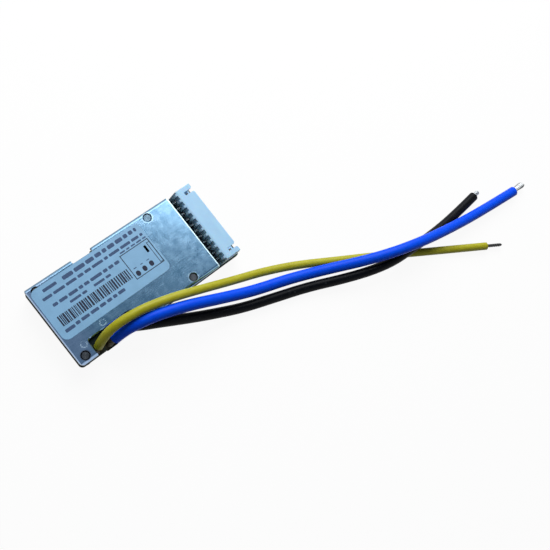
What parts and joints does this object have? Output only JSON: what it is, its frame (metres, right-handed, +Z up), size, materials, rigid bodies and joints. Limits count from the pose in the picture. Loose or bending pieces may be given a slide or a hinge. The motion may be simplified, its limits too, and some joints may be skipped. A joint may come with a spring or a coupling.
{
  "type": "battery management board",
  "caption": "Battery management board: a green circuit board screwed under a notched aluminium heat plate, with a side-entry balance header and three soldered leads.",
  "frame": {"origin": "midway along and across the circuit board, at the level of the cover screws' head faces, which are also the level the loose leads lie on", "axes": "+X along the board towards the open mouth of the balance header, +Z up through the board, the power transistors and the heat plate, so the leads leave at -Y"},
  "size_m": [0.19, 0.0918, 0.0165],
  "materials": {
    "plate_aluminium": "satin, fine rolled mottling",
    "board_green": "green solder mask, glossy",
    "label_film": "satin silver film with dark printed shapes",
    "header_nylon": "milky white moulding",
    "pin_tin": "bright tinned",
    "solder": "smooth solder",
    "screw_steel": "plated steel",
    "moulded_black": "dark moulding compound",
    "thermal_grey": "soft grey sheet",
    "chip_ceramic": "dark film on ceramic, tinned ends",
    "capacitor_ceramic": "tan ceramic, tinned ends",
    "jacket_yellow": "soft flexible jacket",
    "jacket_blue": "soft flexible jacket",
    "jacket_black": "soft flexible jacket",
    "tinned_copper": "twisted strands, tinned"
  },
  "bodies": {
    "root": {"heatsink_plate": "plate_aluminium", "circuit_board": "board_green", "cover_screws": "screw_steel", "product_label": "label_film", "header_housing": "header_nylon", "header_pins": "pin_tin", "header_pin_solder": "solder", "mosfet_bodies": "moulded_black", "mosfet_legs": "pin_tin", "thermal_pad": "thermal_grey", "shunt_resistors": "chip_ceramic", "protection_chip": "moulded_black", "protection_chip_legs": "pin_tin", "balance_resistors": "chip_ceramic", "balance_transistors": "moulded_black", "balance_transistor_legs": "pin_tin", "filter_capacitors": "capacitor_ceramic", "filter_resistors": "chip_ceramic", "yellow_lead": "jacket_yellow", "blue_lead": "jacket_blue", "black_lead": "jacket_black", "yellow_lead_joint": "solder", "blue_lead_joint": "solder", "black_lead_joint": "solder", "yellow_lead_tip": "tinned_copper", "blue_lead_tip": "tinned_copper", "black_lead_tip": "tinned_copper"}
  },
  "joints": []
}
